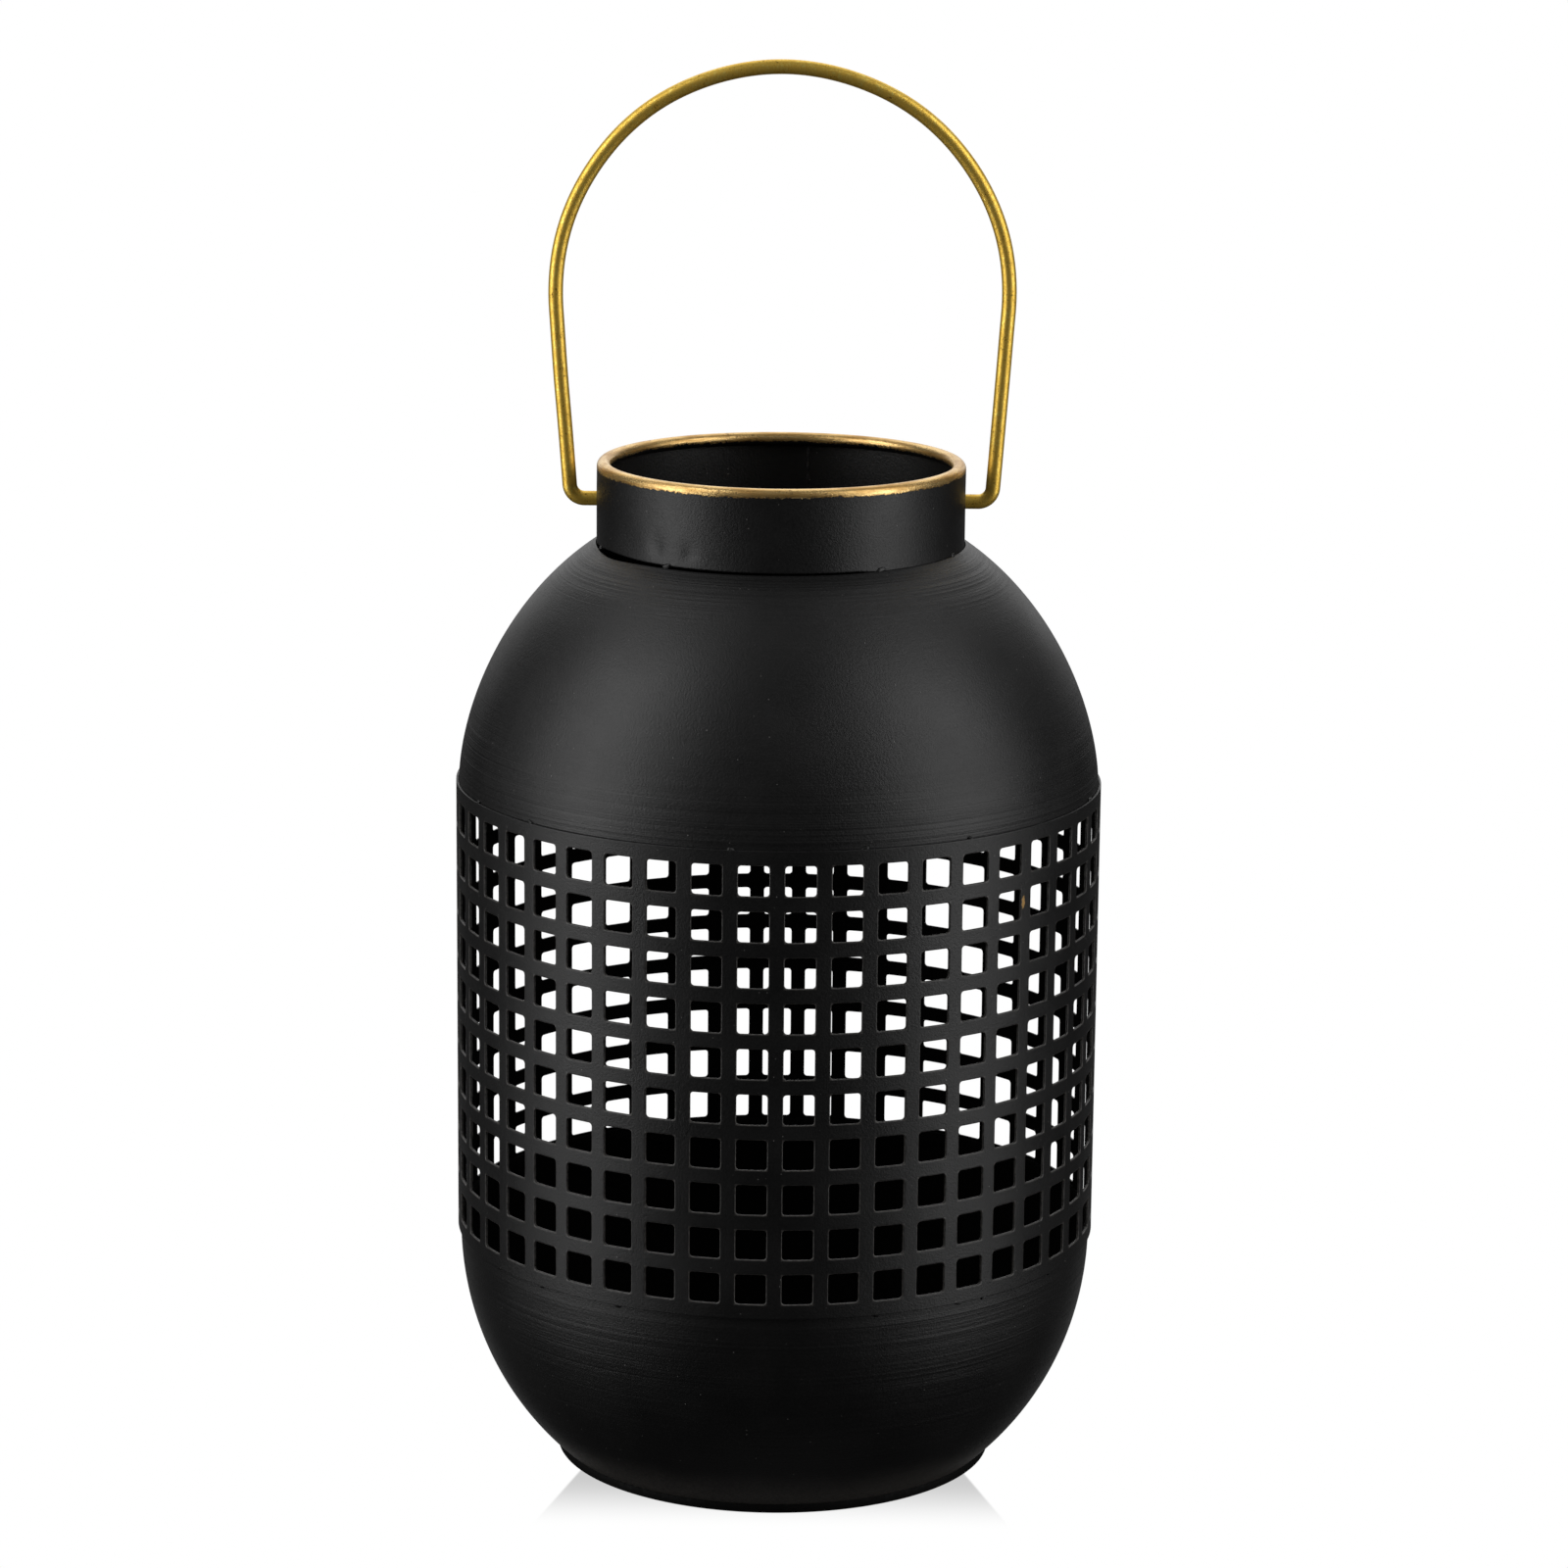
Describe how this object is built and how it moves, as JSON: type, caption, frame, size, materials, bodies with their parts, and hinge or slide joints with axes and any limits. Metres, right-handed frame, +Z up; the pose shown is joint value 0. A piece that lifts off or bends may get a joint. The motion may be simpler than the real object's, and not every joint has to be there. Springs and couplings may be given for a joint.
{
  "type": "candle lantern",
  "caption": "Tall rounded sheet-metal candle lantern with a grid-perforated band, an open wired-edge neck and a swinging wire bail handle.",
  "frame": {"origin": "centre of the foot ring's underside, on the floor", "axes": "+Z up along the lantern's axis, +X along the bail's pivot line, -Y towards the viewer in front"},
  "size_m": [0.2158, 0.2158, 0.4724],
  "materials": {
    "black_coat": "satin black powder coat with fine grain over spun and perforated sheet steel",
    "rim_paint": "satin black powder coat, with a hand-brushed pale gold paint band round the curled rim",
    "wire_core": "bare steel wire wrapped inside the curled rim",
    "antique_gold": "antique gold paint, rubbed, with brown mottling",
    "coated_weld": "black-coated weld bead"
  },
  "bodies": {
    "lantern": {"lower_bowl": "black_coat", "foot_ring": "black_coat", "perforated_band": "black_coat", "shoulder_dome": "black_coat", "neck_collar": "rim_paint", "rim_wire": "wire_core", "band_seam_weld": "coated_weld", "collar_seam_weld": "coated_weld", "top_joint_tacks": "coated_weld", "bottom_joint_tacks": "coated_weld", "neck_tacks": "coated_weld", "foot_tacks": "coated_weld"},
    "bail": {"bail_handle": "antique_gold"}
  },
  "joints": [
    {"name": "bail_swing", "type": "hinge", "parent": "lantern", "child": "bail", "pos_m": [0, 0, 0.32739], "axis": [1, 0, 0], "range_deg": [-125, 125]}
  ]
}
